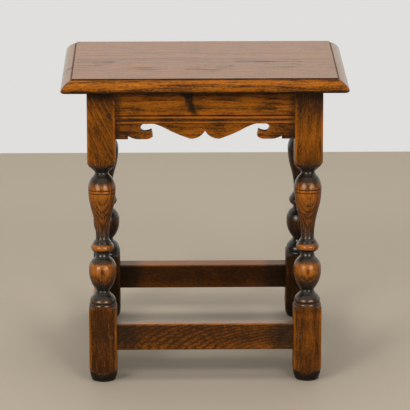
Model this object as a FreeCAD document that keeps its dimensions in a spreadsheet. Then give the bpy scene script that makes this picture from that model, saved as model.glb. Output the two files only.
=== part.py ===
import FreeCAD, Part
import Sketcher
import os
import re

# A joint stool in oak: a board with a moulded edge on four turned legs, which
# lean in from front and back, with shaped aprons, low stretchers, and pegged
# mortise and tenon joints. The origin lies on the floor under the middle of
# the seat, +X to the right, +Y to the back, +Z up. Lengths are in millimetres.

# Sizes that can each be set by themselves
sizes = [
    # whole stool
    ("stool_height", 500),
    ("seat_width", 460),
    ("seat_depth", 275),
    ("seat_thickness", 21),
    ("seat_overhang_ends", 41),
    ("seat_overhang_sides", 18),
    ("leg_square", 45),
    ("leg_rake", 6),
    # moulded edge of the seat board
    ("edge_width", 18),
    ("edge_quirk", 1.5),
    ("edge_lip", 4.8),
    ("edge_lip_width", 4.5),
    ("edge_swell", 2.4),
    ("edge_lip_swell", 1.5),
    # legs
    ("leg_arris", 1.3),
    ("turning_play", 1.4),
    ("low_block_top", 122),
    ("foot_radius", 19.6),
    ("foot_toe", 1.2),
    ("foot_height", 12),
    ("foot_top_radius", 22.3),
    ("foot_swell", 1),
    ("foot_shoulder", 8.5),
    ("foot_run", 8),
    # aprons
    ("apron_depth", 78.6),
    ("apron_thickness", 22),
    ("apron_setback", 2.5),
    ("scroll_height", 25),
    ("field_height", 39.5),
    ("groove_width", 2.1),
    ("groove_depth", 1.6),
    ("bead_width", 3.5),
    ("bead_swell", 0.7),
    ("bead_inset", 0.7),
    ("cove_width", 4.9),
    ("cove_hollow", 1.9),
    ("fillet_width", 2.9),
    ("fillet_inset", 0.4),
    ("lower_field_step", 0.5),
    ("lower_field_inset", 2),
    # stretchers
    ("stretcher_top", 95.5),
    ("stretcher_depth", 43.6),
    ("stretcher_thickness", 21),
    ("stretcher_setback", 2.5),
    ("stretcher_arris", 1.8),
    # mortise and tenon joints
    ("tenon_thickness", 9),
    ("tenon_length", 24.5),
    ("tenon_root", 5),
    ("apron_haunch", 15),
    ("apron_tenon_shoulder", 8),
    ("stretcher_tenon_shoulder", 5),
    ("mortise_end_play", 1),
    ("joint_play", 0.1),
    # pegs
    ("peg_radius", 3.8),
    ("peg_from_axis", 13),
    ("peg_depth", 24),
    ("peg_end_play", 0.5),
    ("peg_proud", 0.9),
    ("peg_play", 0.05),
    # screws that hold the seat from below
    ("screw_lean", 16),
    ("screw_seat", 16),
    ("screw_from_shoulder", 28),
    ("screw_head_radius", 4),
    ("screw_head_height", 2.6),
    ("screw_radius", 2.1),
    ("screw_grip", 15),
    ("screw_play", 0.3),
    ("screw_thread_play", 0.05),
    ("pocket_radius", 4.8),
    ("pocket_length", 46),
    # how far a cut runs on past the wood
    ("cut_overrun", 10),
]

# The turning between the two square blocks, from the lower block up: each
# member's length, the radius at its upper end, and how far it swells out or,
# with a minus sign, is hollowed
members = [
    ("base_shoulder", 10, 20.2, 0),
    ("base_quirk", 1.8, 21.3, 0),
    ("base_bell", 8, 14.5, 1),
    ("base_flare", 5.2, 11.1, 0),
    ("low_neck", 2.4, 11.1, 0),
    ("urn_flank", 34.6, 22.3, 3.4),
    ("urn_crown", 19, 13.2, 2.6),
    ("urn_flare", 3.5, 11.4, 0),
    ("mid_neck", 5.4, 11.4, 0),
    ("ring_underside", 0.8, 13.4, 0),
    ("ring", 14.4, 15.2, 4.2),
    ("ring_quirk", 0.6, 14.8, 0),
    ("collar_foot", 3.5, 13, 0),
    ("collar_crown", 4.3, 10.7, 0),
    ("vase_stem", 5.5, 10.7, 0),
    ("vase_hollow", 38.5, 16.8, -1.4),
    ("vase_flank", 30.5, 22.2, 0.8),
    ("vase_belly", 10.2, 22.2, 0),
    ("vase_crown", 16.3, 15.9, 1.2),
    ("vase_flare", 5.5, 11.5, 0),
    ("high_neck", 3.3, 11.3, 0),
    ("neck_step", 0.4, 11.9, 0),
    ("block_chamfer", 6.3, 18.3, 0),
    ("block_seat", 8, 22.2, 1.5),
    ("block_shoulder", 9, 33.2, 0),
]

# The left half of an apron's shaped lower edge, from the leg to the cusp in
# the middle: how far out along the half length, how far up the shaped height,
# and how far the next stretch swells down or, with a minus sign, is hollowed
scroll_shares = [
    (0.858, 0, 0),
    (0.855, 0.21, 0.053),
    (0.74, 0, 0),
    (0.646, 0, 0.03),
    (0.581, 0.17, 0),
    (0.594, 0.575, -0.025),
    (0.667, 0.455, -0.328),
    (0.656, 0.985, -0.016),
    (0.56, 0.99, -0.03),
    (0.387, 0.535, 0.022),
    (0.163, 0.02, 0.155),
]
cusp_share = 0.54

doc = FreeCAD.newDocument("joint_stool")
sheet = doc.addObject("Spreadsheet::Sheet", "sizes")
names = set()


def enter(word, content):
    """Put a size or a sum in the next row of the sheet, and name its cell."""
    row = len(names) + 1
    sheet.set(f"A{row}", word)
    sheet.set(f"B{row}", content)
    sheet.setAlias(f"B{row}", word)
    names.add(word)


for word, size in sizes:
    enter(word, str(size))
height_before = "low_block_top"
for word, length, radius, swell in members:
    enter(word + "_length", str(length))
    enter(word + "_radius", str(radius))
    if swell:
        enter(word + "_swell", str(abs(swell)))
    enter(word + "_height", f"={height_before} + {word}_length")
    height_before = word + "_height"
enter("under_seat", "=stool_height - seat_thickness")
enter("leg_spacing_wide", "=seat_width - 2 * seat_overhang_ends - leg_square")
enter("leg_spacing_deep", "=seat_depth - 2 * seat_overhang_sides - leg_square / cos(leg_rake)"
      " + 2 * under_seat * tan(leg_rake)")
enter("half_square", "=leg_square / 2")
enter("turning_reach", "=leg_square / sqrt(2) + turning_play")
enter("apron_offset", "=half_square - apron_setback - apron_thickness / 2")
enter("stretcher_offset", "=half_square - stretcher_setback - stretcher_thickness / 2")
enter("apron_outer_top", "=(under_seat + (apron_setback - half_square) * sin(leg_rake)) / cos(leg_rake)")
enter("apron_foot", "=apron_outer_top - apron_depth")
enter("apron_tenon_top", "=apron_outer_top - apron_haunch")
enter("apron_tenon_foot", "=apron_foot + apron_tenon_shoulder")
enter("apron_peg_height", "=apron_foot + apron_depth / 2")
enter("stretcher_foot", "=stretcher_top - stretcher_depth")
enter("stretcher_tenon_top", "=stretcher_top - stretcher_tenon_shoulder")
enter("stretcher_tenon_foot", "=stretcher_foot + stretcher_tenon_shoulder")
enter("stretcher_peg_height", "=stretcher_foot + stretcher_depth / 2")
doc.recompute()


def bound(text):
    """The same sum, with each named size read from the sheet."""
    return re.sub(r"[a-z_]+", lambda word: "sizes." + word[0] if word[0] in names else word[0], text)


def value(text):
    """What a sum of named sizes comes to."""
    return float(sheet.evalExpression(bound(text)))


def place(thing, text):
    """Bind where a thing stands to the sheet."""
    thing.setExpression("Placement", bound(text))


def move(across, deep, up, turn="rotationz(0)"):
    """A place in words: a shift after a turn."""
    return f"placement(vector({across}; {deep}; {up}); {turn})"


def new_body(name):
    """An empty body with its own origin planes."""
    body = doc.addObject("PartDesign::Body", name)
    body.Label = name
    return body


def new_sketch(body, name, plane, offset="0"):
    """A sketch on one of the body's own origin planes, or beside it."""
    sketch = body.newObject("Sketcher::SketchObject", name)
    support = [feature for feature in body.Origin.OriginFeatures if feature.Role == plane]
    sketch.AttachmentSupport = (support[0], [""])
    sketch.MapMode = "FlatFace"
    sketch.setExpression("AttachmentOffset.Base.z", bound(offset))
    return sketch


def pin_down(sketch, kind, item, end, text):
    """Tie one coordinate of a sketch point to a sum of named sizes."""
    index = sketch.addConstraint(Sketcher.Constraint(kind, -1, 1, item, end, value(text)))
    sketch.setExpression(f"Constraints[{index}]", bound(text))


def draw_loop(sketch, corners):
    """A closed line through corners (across, up, swell of the next stretch).
    A stretch swells to the right of the way it runs, or to the left where its
    swell has a minus sign, and is straight where it has none."""
    spots = []
    for corner in corners:
        spots.append(FreeCAD.Vector(value(corner[0]), value(corner[1]), 0))
    items = []
    for index, (across, up, swell) in enumerate(corners):
        start = spots[index]
        finish = spots[(index + 1) % len(spots)]
        if swell in ("", "0"):
            items.append((sketch.addGeometry(Part.LineSegment(start, finish), False), 1, 2))
            continue
        left = swell.startswith("-")
        rise = swell.lstrip("-")
        chord = finish - start
        side = FreeCAD.Vector(chord.y, -chord.x, 0).normalize() * value(rise)
        middle = (start + finish) * 0.5 + (-side if left else side)
        ends = (finish, middle, start) if left else (start, middle, finish)
        item = sketch.addGeometry(Part.Arc(*ends), False)
        items.append((item, 2, 1) if left else (item, 1, 2))
        ahead = corners[(index + 1) % len(corners)]
        square = f"((({ahead[0]}) - ({across}))^2 + (({ahead[1]}) - ({up}))^2)"
        radius = f"{square} / (8 * ({rise})) + ({rise}) / 2"
        index_radius = sketch.addConstraint(Sketcher.Constraint("Radius", item, value(radius)))
        sketch.setExpression(f"Constraints[{index_radius}]", bound(radius))
    for index, (item, first, last) in enumerate(items):
        after = items[(index + 1) % len(items)]
        sketch.addConstraint(Sketcher.Constraint("Coincident", item, last, after[0], after[1]))
        pin_down(sketch, "DistanceX", item, first, corners[index][0])
        pin_down(sketch, "DistanceY", item, first, corners[index][1])


def draw_circle(sketch, across, up, radius):
    """A circle tied to a place and a radius."""
    centre = FreeCAD.Vector(value(across), value(up), 0)
    item = sketch.addGeometry(Part.Circle(centre, FreeCAD.Vector(0, 0, 1), value(radius)), False)
    pin_down(sketch, "DistanceX", item, 3, across)
    pin_down(sketch, "DistanceY", item, 3, up)
    index = sketch.addConstraint(Sketcher.Constraint("Radius", item, value(radius)))
    sketch.setExpression(f"Constraints[{index}]", bound(radius))


def pad(body, name, sketch, length):
    """Wood of even thickness, half to each side of the sketch."""
    feature = body.newObject("PartDesign::Pad", name)
    feature.Profile = sketch
    feature.SideType = "Symmetric"
    feature.setExpression("Length", bound(length))
    doc.recompute()
    return feature


def cut(body, name, sketch, length, way):
    """Cut away the sketch: to both sides, against its normal or along it."""
    before = body.Shape.Volume
    feature = body.newObject("PartDesign::Pocket", name)
    feature.Profile = sketch
    feature.SideType = "Symmetric" if way == "both" else "One side"
    feature.Reversed = way == "along"
    feature.setExpression("Length", bound(length))
    doc.recompute()
    if body.Shape.Volume >= before:
        raise RuntimeError(f"{name} of {body.Label} cuts nothing")
    return feature


def turn_away(body, name, sketch):
    """Turn the sketch away about the body's upright axis."""
    before = body.Shape.Volume
    feature = body.newObject("PartDesign::Groove", name)
    feature.Profile = sketch
    feature.ReferenceAxis = (sketch, ["V_Axis"])
    feature.Angle = 360
    doc.recompute()
    if body.Shape.Volume >= before:
        raise RuntimeError(f"{name} of {body.Label} cuts nothing")
    return feature


def ease_edges(body, name, base, axis, shortest, radius):
    """Round the edges of a feature that run along an axis."""
    chosen = []
    for index, edge in enumerate(base.Shape.Edges, start=1):
        run = edge.Vertexes[-1].Point - edge.Vertexes[0].Point
        if edge.Length > value(shortest) and abs(run.dot(axis)) > 0.999 * run.Length:
            chosen.append(f"Edge{index}")
    feature = body.newObject("PartDesign::Fillet", name)
    feature.Base = (base, chosen)
    feature.setExpression("Radius", bound(radius))
    doc.recompute()
    return feature


def stack(name, pieces, where):
    """Round pieces on one axis, each (length, first radius, last radius)."""
    solids = []
    start = "0"
    for index, (length, first, last) in enumerate(pieces, start=1):
        kind = "Part::Cylinder" if first == last else "Part::Cone"
        solid = doc.addObject(kind, f"{name}_{index}")
        solid.setExpression("Height", bound(length))
        if first == last:
            solid.setExpression("Radius", bound(first))
        else:
            solid.setExpression("Radius1", bound(first))
            solid.setExpression("Radius2", bound(last))
        place(solid, f"{where} * {move('0', '0', start)}")
        solids.append(solid)
        start = f"{start} + {length}"
    if len(solids) == 1:
        return solids[0]
    whole = doc.addObject("Part::MultiFuse", name)
    whole.Shapes = solids
    return whole


def gather(kind, name, things):
    """Several things as one node."""
    whole = doc.addObject(kind, name)
    whole.Label = name
    if kind == "Part::Compound":
        whole.Links = things
    else:
        whole.Shapes = things
    return whole


def drill(name, wood, tools):
    """The wood with the screws' holes in it."""
    holes = tools[0] if len(tools) == 1 else gather("Part::MultiFuse", name + "_holes", tools)
    whole = doc.addObject("Part::Cut", name)
    whole.Label = name
    whole.Base = wood
    whole.Tool = holes
    return whole


nodes = []

# The stool stands square, so each side is the front turned by quarters
quarters = {"front": 0, "right": 90, "back": 180, "left": 270}


def leg_place(hand, quarter):
    """Where a leg stands: its axis at floor level, leaning in by the rake."""
    spot = move(f"{hand} * leg_spacing_wide / 2", "-leg_spacing_deep / 2", "0", "rotationx(-leg_rake)")
    return f"{move('0', '0', '0', f'rotationz({quarter})')} * {spot}"


def make_leg(name, hand, quarter):
    """A turned leg. Its outer faces look to -Y and, by its hand, to one side,
    and the rails come in through the two faces opposite."""
    body = new_body(name)
    stock = new_sketch(body, name + "_stock_sketch", "YZ_Plane")
    level_rise = "half_square * tan(leg_rake)"
    stock_top = "under_seat / cos(leg_rake)"
    draw_loop(stock, [
        ("-half_square", f"-{level_rise}", ""),
        ("half_square", level_rise, ""),
        ("half_square", f"{stock_top} + {level_rise}", ""),
        ("-half_square", f"{stock_top} - {level_rise}", ""),
    ])
    blank = pad(body, name + "_stock", stock, "leg_square")
    upright = FreeCAD.Vector(0, 0, 1)
    ease_edges(body, name + "_arrises", blank, upright, "leg_square * 2", "leg_arris")

    # the turned stretch between the blocks
    profile = new_sketch(body, name + "_turning_sketch", "XZ_Plane")
    corners = [("turning_reach", "low_block_top", "")]
    for index, (word, length, radius, swell) in enumerate(members[:-1]):
        ahead = members[index + 1]
        sign = "-" if ahead[3] < 0 else ""
        bulge = f"{sign}{ahead[0]}_swell" if ahead[3] else ""
        corners.append((f"{word}_radius", f"{word}_height", bulge))
    corners.append(("turning_reach", f"{members[-1][0]}_height", ""))
    draw_loop(profile, corners)
    turn_away(body, name + "_turning", profile)

    # the turned foot
    toe = new_sketch(body, name + "_foot_sketch", "XZ_Plane")
    draw_loop(toe, [
        ("turning_reach", "-foot_run", ""),
        ("foot_radius", "-foot_run", ""),
        ("foot_radius", "foot_toe", "foot_swell"),
        ("foot_top_radius", "foot_toe + foot_height", ""),
        ("turning_reach", "foot_toe + foot_height + foot_shoulder", ""),
    ])
    turn_away(body, name + "_foot", toe)

    # mortises for the rails along the stool, in the inner side face, and for
    # the rails across it, in the back face, and the peg holes of both
    inward = -hand
    side_way = "against" if inward > 0 else "along"
    outer_way = "along" if inward > 0 else "against"
    for rail in ("apron", "stretcher"):
        half = "(tenon_thickness / 2 + joint_play)"
        foot = f"{rail}_tenon_foot - joint_play"
        top = f"{rail}_tenon_top + joint_play"
        depth = "tenon_length + mortise_end_play"
        slot = new_sketch(body, f"{name}_{rail}_slot_sketch", "YZ_Plane", f"{inward} * half_square")
        draw_loop(slot, [
            (f"-{rail}_offset - {half}", foot, ""),
            (f"-{rail}_offset + {half}", foot, ""),
            (f"-{rail}_offset + {half}", top, ""),
            (f"-{rail}_offset - {half}", top, ""),
        ])
        cut(body, f"{name}_{rail}_slot", slot, depth, side_way)
        cross = new_sketch(body, f"{name}_{rail}_cross_sketch", "XZ_Plane", "-half_square")
        draw_loop(cross, [
            (f"{hand} * {rail}_offset - {half}", foot, ""),
            (f"{hand} * {rail}_offset + {half}", foot, ""),
            (f"{hand} * {rail}_offset + {half}", top, ""),
            (f"{hand} * {rail}_offset - {half}", top, ""),
        ])
        cut(body, f"{name}_{rail}_cross", cross, depth, "along")
        hole = "peg_radius + peg_play"
        front = new_sketch(body, f"{name}_{rail}_peg_sketch", "XZ_Plane", "half_square")
        draw_circle(front, f"{inward} * peg_from_axis", f"{rail}_peg_height", hole)
        cut(body, f"{name}_{rail}_peg", front, "peg_depth", "against")
        outer = new_sketch(body, f"{name}_{rail}_side_peg_sketch", "YZ_Plane", f"{hand} * half_square")
        draw_circle(outer, "peg_from_axis", f"{rail}_peg_height", hole)
        cut(body, f"{name}_{rail}_side_peg", outer, "peg_depth", outer_way)
    place(body, leg_place(hand, quarter))
    return body


def rail_place(rail, quarter, tilt, away):
    """Where a rail stands: in its own middle plane, between two legs."""
    spot = move("0", f"-({away} + {rail}_offset * cos({tilt}))", f"{rail}_offset * sin({tilt})",
                f"rotationx(-({tilt}))")
    return f"{move('0', '0', '0', f'rotationz({quarter})')} * {spot}"


def make_rail(rail, side):
    """An apron or a stretcher. It runs along X with its outer face to -Y."""
    name = f"{rail}_{side}"
    along = side in ("front", "back")
    reach = "leg_spacing_wide / 2" if along else "leg_spacing_deep / 2"
    away = "leg_spacing_deep / 2" if along else "leg_spacing_wide / 2"
    lean = "0" if along else "leg_rake"
    tilt = "leg_rake" if along else "0"
    thick = f"{rail}_thickness"
    shaped = rail == "apron"

    # levels: on the leaning sides heights run along the legs
    if not shaped:
        foot = "stretcher_foot"
        top = "stretcher_top"
    else:
        foot = "apron_foot" if along else "under_seat - apron_depth"
        top = f"(under_seat + ({thick} / 2 - apron_offset) * sin({tilt})) / cos({tilt})"

    def shoulder(level):
        """How far out the leg's inner face is at a level."""
        return f"({reach} - ({level}) * tan({lean}) - half_square / cos({lean}) - joint_play)"

    # the board itself, with the shaped lower edge of an apron
    body = new_body(name + "_wood" if shaped else name)
    outline = new_sketch(body, name + "_outline_sketch", "XZ_Plane")
    corners = [(f"-{shoulder(foot)}", foot, "")]
    if shaped:
        left = []
        for out, up, swell in scroll_shares:
            across = f"{out} * {shoulder(foot)}"
            level = f"{foot} + {up} * scroll_height"
            left.append((across, level, swell))
        for across, level, swell in left:
            sign = "-" if swell < 0 else ""
            bulge = f"{sign}{abs(swell)} * scroll_height" if swell else ""
            corners.append((f"-{across}", level, bulge))
        last = left[-1][2]
        corners.append(("0", f"{foot} + {cusp_share} * scroll_height", f"{last} * scroll_height"))
        for index in range(len(left) - 1, -1, -1):
            before = left[index - 1][2] if index else 0
            sign = "-" if before < 0 else ""
            bulge = f"{sign}{abs(before)} * scroll_height" if before else ""
            corners.append((left[index][0], left[index][1], bulge))
    corners.append((shoulder(foot), foot, ""))
    corners.append((shoulder(top), top, ""))
    corners.append((f"-{shoulder(top)}", top, ""))
    draw_loop(outline, corners)
    board = pad(body, name + "_board", outline, thick)
    if not shaped:
        ease_edges(body, name + "_arrises", board, FreeCAD.Vector(1, 0, 0), "leg_square * 2", "stretcher_arris")
    else:
        outer_top = "apron_outer_top" if along else "under_seat"
        mould_face(body, name, outer_top, foot, thick)
        if along:
            level_top(body, name, tilt, thick)

    # a tenon at each end, square to the leg, with its peg hole
    tongue = new_sketch(body, name + "_tenon_sketch", "XZ_Plane")
    holes = new_sketch(body, name + "_peg_sketch", "XZ_Plane")
    for hand in (-1, 1):
        root = "-(half_square + tenon_root)"
        end = "-(half_square - tenon_length)"
        tenon = []
        for out, level in ((root, "foot"), (end, "foot"), (end, "top"), (root, "top")):
            up = f"{rail}_tenon_{level}"
            across = f"({reach} + {out} * cos({lean}) - {up} * sin({lean}))"
            height = f"{out} * sin({lean}) + {up} * cos({lean})"
            tenon.append((f"{hand} * {across}", height, ""))
        draw_loop(tongue, tenon if hand > 0 else tenon[::-1])
        up = f"{rail}_peg_height"
        across = f"({reach} - peg_from_axis * cos({lean}) - {up} * sin({lean}))"
        height = f"{up} * cos({lean}) - peg_from_axis * sin({lean})"
        draw_circle(holes, f"{hand} * {across}", height, "peg_radius + peg_play")
    pad(body, name + "_tenons", tongue, "tenon_thickness")
    cut(body, name + "_pegs", holes, thick, "both")
    where = rail_place(rail, quarters[side], tilt, away)
    place(body, where)
    return body, where, tilt, shoulder("under_seat")


def mould_face(body, name, top, foot, thick):
    """Run the moulding along the outer face and set the lower field back."""
    face = f"-{thick} / 2"
    groove = f"{top} - field_height"
    bead = f"{groove} - groove_width"
    cove = f"{bead} - bead_width"
    fillet = f"{cove} - cove_width"
    field = f"{fillet} - fillet_width"
    out = f"{face} - cut_overrun"
    section = new_sketch(body, name + "_moulding_sketch", "YZ_Plane")
    draw_loop(section, [
        (out, groove, ""),
        (face, groove, ""),
        (f"{face} + groove_depth", f"{groove} - groove_width / 2", ""),
        (f"{face} + bead_inset", bead, "-bead_swell"),
        (f"{face} + bead_inset", cove, "cove_hollow"),
        (f"{face} + fillet_inset", fillet, ""),
        (f"{face} + fillet_inset", field, ""),
        (f"{face} + lower_field_inset", f"{field} - lower_field_step", ""),
        (f"{face} + lower_field_inset", f"{foot} - cut_overrun", ""),
        (out, f"{foot} - cut_overrun", ""),
    ])
    cut(body, name + "_moulding", section, "seat_width", "both")


def level_top(body, name, tilt, thick):
    """Plane the top edge of a leaning apron level, to seat the board."""
    section = new_sketch(body, name + "_level_sketch", "YZ_Plane")

    def level(deep):
        return f"(under_seat + ({deep} - apron_offset) * sin({tilt})) / cos({tilt})"

    near = f"-{thick} / 2 - cut_overrun"
    far = f"{thick} / 2 + cut_overrun"
    draw_loop(section, [
        (near, level(near), ""),
        (far, level(far), ""),
        (near, f"{level(far)} + cut_overrun", ""),
    ])
    cut(body, name + "_level", section, "seat_width", "both")


# The seat board, with the moulded edge on all four sides
board = new_body("seat_board")
across_sketch = new_sketch(board, "seat_section_sketch", "XZ_Plane")
edge_foot = "seat_thickness - edge_quirk"
draw_loop(across_sketch, [
    ("-seat_width / 2 + edge_lip_width", "0", ""),
    ("seat_width / 2 - edge_lip_width", "0", "edge_lip_swell"),
    ("seat_width / 2", "edge_lip", "edge_swell"),
    ("seat_width / 2 - edge_width", edge_foot, ""),
    ("seat_width / 2 - edge_width", "seat_thickness", ""),
    ("-seat_width / 2 + edge_width", "seat_thickness", ""),
    ("-seat_width / 2 + edge_width", edge_foot, "edge_swell"),
    ("-seat_width / 2", "edge_lip", "edge_lip_swell"),
])
pad(board, "seat_section", across_sketch, "seat_depth")
deep_sketch = new_sketch(board, "seat_edge_sketch", "YZ_Plane")
for side in ("", "-"):
    edge = [
        (f"{side}(seat_depth / 2 - edge_lip_width)", "-cut_overrun", ""),
        (f"{side}(seat_depth / 2 + cut_overrun)", "-cut_overrun", ""),
        (f"{side}(seat_depth / 2 + cut_overrun)", "seat_thickness + cut_overrun", ""),
        (f"{side}(seat_depth / 2 - edge_width)", "seat_thickness + cut_overrun", ""),
        (f"{side}(seat_depth / 2 - edge_width)", edge_foot, f"{'-' if not side else ''}edge_swell"),
        (f"{side}(seat_depth / 2)", "edge_lip", f"{'-' if not side else ''}edge_lip_swell"),
        (f"{side}(seat_depth / 2 - edge_lip_width)", "0", ""),
    ]
    draw_loop(deep_sketch, edge)
cut(board, "seat_edge", deep_sketch, "seat_width + cut_overrun", "both")
place(board, move("0", "0", "under_seat"))

# Legs: the back pair is the front pair turned half round
nodes.append(make_leg("leg_front_left", -1, 0))
nodes.append(make_leg("leg_front_right", 1, 0))
nodes.append(make_leg("leg_back_right", -1, 180))
nodes.append(make_leg("leg_back_left", 1, 180))

# Stretchers and aprons, and the screws that go up through pockets in the
# inner face of each apron: two in a long one, one in a short one
pilots = []
for side in quarters:
    nodes.append(make_rail("stretcher", side)[0])
    wood, where, tilt, end = make_rail("apron", side)
    spots = ("-1", "1") if side in ("front", "back") else ("0",)
    tools = []
    screws = []
    for index, hand in enumerate(spots, start=1):
        name = f"apron_{side}_screw_{index}"
        level = f"(under_seat - apron_offset * sin({tilt})) / cos({tilt})"
        axis = f"{where} * {move(f'{hand} * ({end} - screw_from_shoulder)', '0', level, 'rotationx(screw_lean)')}"
        mouth = f"{axis} * {move('0', '0', '-screw_seat - pocket_length')}"
        tools.append(stack(name + "_way", [
            ("pocket_length", "pocket_radius", "pocket_radius"),
            ("screw_seat + cut_overrun", "screw_radius + screw_play", "screw_radius + screw_play"),
        ], mouth))
        root = "screw_radius + screw_thread_play"
        start = f"{axis} * {move('0', '0', '-cut_overrun')}"
        pilots.append(stack(name + "_pilot", [
            ("cut_overrun + screw_grip + screw_play", root, root),
        ], start))
        head = f"{axis} * {move('0', '0', '-screw_seat - screw_head_height')}"
        screws.append(stack(name, [
            ("screw_head_height", "screw_head_radius", "screw_head_radius"),
            ("screw_seat + screw_grip", "screw_radius", "screw_radius"),
        ], head))
    nodes.append(drill(f"apron_{side}", wood, tools))
    nodes.append(gather("Part::Compound", f"screws_{side}", screws))
nodes.append(drill("seat_top", board, pilots))

# Pegs: one through each joint, from the outer face of the leg
for side, quarter in quarters.items():
    for rail in ("apron", "stretcher"):
        pegs = []
        for hand in (-1, 1):
            back = "peg_depth - peg_end_play - half_square"
            if side in ("front", "back"):
                spot = move(f"{-hand} * peg_from_axis", back, f"{rail}_peg_height", "rotationx(90)")
                where = f"{leg_place(hand, quarter)} * {spot}"
            else:
                turned = 0 if (hand > 0) == (side == "right") else 180
                outward = 1 if side == "right" else -1
                if turned:
                    outward = -outward
                spot = move(f"{-outward} * ({back})", "peg_from_axis", f"{rail}_peg_height",
                            f"rotationy({outward} * 90)")
                where = f"{leg_place(outward, turned)} * {spot}"
            pegs.append(stack(f"peg_{side}_{rail}_{'right' if hand > 0 else 'left'}", [
                ("peg_depth - peg_end_play + peg_proud", "peg_radius", "peg_radius"),
            ], where))
        nodes.append(gather("Part::Compound", f"pegs_{side}_{rail}", pegs))

doc.recompute()

# Nothing is written unless every object and every node is sound
for thing in doc.Objects:
    if "Invalid" in thing.State or "Error" in thing.State:
        raise RuntimeError(f"{thing.Label} failed: {thing.State}")
for node in nodes:
    if node.Shape.isNull() or not node.Shape.isValid() or not node.Shape.Solids:
        raise RuntimeError(f"{node.Label} has no sound shape")
os.makedirs("parts", exist_ok=True)
for node in nodes:
    node.Shape.exportStep(f"parts/{node.Label}.step")
    print(node.Label, len(node.Shape.Solids), round(node.Shape.Volume), node.Shape.BoundBox)
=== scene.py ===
import math
import bpy
from bpy.props import FloatProperty, FloatVectorProperty, IntProperty, PointerProperty
from mathutils import Matrix, Vector


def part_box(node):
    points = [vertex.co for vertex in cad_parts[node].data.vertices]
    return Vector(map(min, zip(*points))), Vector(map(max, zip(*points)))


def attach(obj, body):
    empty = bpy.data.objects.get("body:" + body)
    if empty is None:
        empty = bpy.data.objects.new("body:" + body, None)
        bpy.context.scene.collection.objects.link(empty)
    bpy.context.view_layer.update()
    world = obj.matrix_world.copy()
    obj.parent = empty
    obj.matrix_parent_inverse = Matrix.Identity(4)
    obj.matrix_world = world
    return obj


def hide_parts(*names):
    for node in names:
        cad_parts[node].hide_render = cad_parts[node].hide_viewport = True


bl_info = {
    "name": "Joint Stool",
    "version": (1, 0, 0),
    "blender": (4, 5, 0),
    "location": "3D View > Sidebar > Stool",
    "description": "Models and finishes an oak joint stool around its construction frame",
    "category": "Add Mesh",
}

# The frame comes first, so that sizes can be read from it
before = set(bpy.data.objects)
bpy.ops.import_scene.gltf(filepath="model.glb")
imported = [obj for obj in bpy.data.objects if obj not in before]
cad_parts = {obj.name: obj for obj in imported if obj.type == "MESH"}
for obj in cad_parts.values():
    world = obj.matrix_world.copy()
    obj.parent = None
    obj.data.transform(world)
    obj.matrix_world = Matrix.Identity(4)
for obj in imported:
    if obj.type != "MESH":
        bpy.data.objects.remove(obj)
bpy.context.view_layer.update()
seat_low, seat_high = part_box("seat_top")
leg_low, leg_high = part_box("leg_front_right")

# The leg from its foot up, in metres along its axis: each member's length, the
# radius at its upper end, and how far it swells out or is hollowed
BLOCK = None
members = [
    ("foot_toe", 0.0012, 0.0196, 0),
    ("foot", 0.012, 0.0223, 0.001),
    ("foot_shoulder", 0.0085, BLOCK, 0),
    ("low_block", 0.0958, BLOCK, 0),
    ("base_shoulder", 0.0065, 0.0223, 0.0009),
    ("base_band", 0.0036, 0.0214, 0.0003),
    ("base_quirk", 0.0006, 0.0204, 0),
    ("base_lip", 0.0004, 0.0209, 0),
    ("base_bell", 0.008, 0.0194, 0.0009),
    ("base_crown", 0.0052, 0.0145, 0.0003),
    ("base_flare", 0.0052, 0.0111, -0.0004),
    ("low_neck", 0.0024, 0.0111, -0.0002),
    ("urn_flank", 0.0346, 0.0223, 0.0034),
    ("urn_crown", 0.019, 0.0132, 0.0026),
    ("urn_flare", 0.0035, 0.0114, -0.0003),
    ("mid_neck", 0.0054, 0.0114, -0.0003),
    ("ring_underside", 0.0008, 0.0134, 0),
    ("ring", 0.0144, 0.0152, 0.0042),
    ("ring_quirk", 0.0006, 0.0148, 0),
    ("collar_foot", 0.0035, 0.013, 0.0004),
    ("collar_crown", 0.0043, 0.0107, -0.0004),
    ("vase_stem", 0.0055, 0.0107, -0.0001),
    ("vase_hollow", 0.0385, 0.0168, -0.0014),
    ("vase_flank", 0.0307, 0.0221, 0.0008),
    ("lower_score", 0.0007, 0.021, 0),
    ("lower_score_lip", 0.0007, 0.0221, 0),
    ("vase_belly", 0.0038, 0.0222, 0.0001),
    ("upper_score", 0.0007, 0.0209, 0),
    ("upper_score_lip", 0.0007, 0.0222, 0),
    ("vase_shoulder", 0.0034, 0.0222, 0.0001),
    ("vase_crown", 0.0163, 0.0159, 0.0012),
    ("vase_flare", 0.0055, 0.0115, -0.0004),
    ("high_neck", 0.0033, 0.0113, -0.0002),
    ("neck_step", 0.0004, 0.0119, 0),
    ("block_chamfer", 0.0063, 0.0183, 0.0002),
    ("block_seat", 0.0055, 0.0222, 0.0009),
    ("block_shoulder", 0.009, BLOCK, 0.0008),
]

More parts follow.
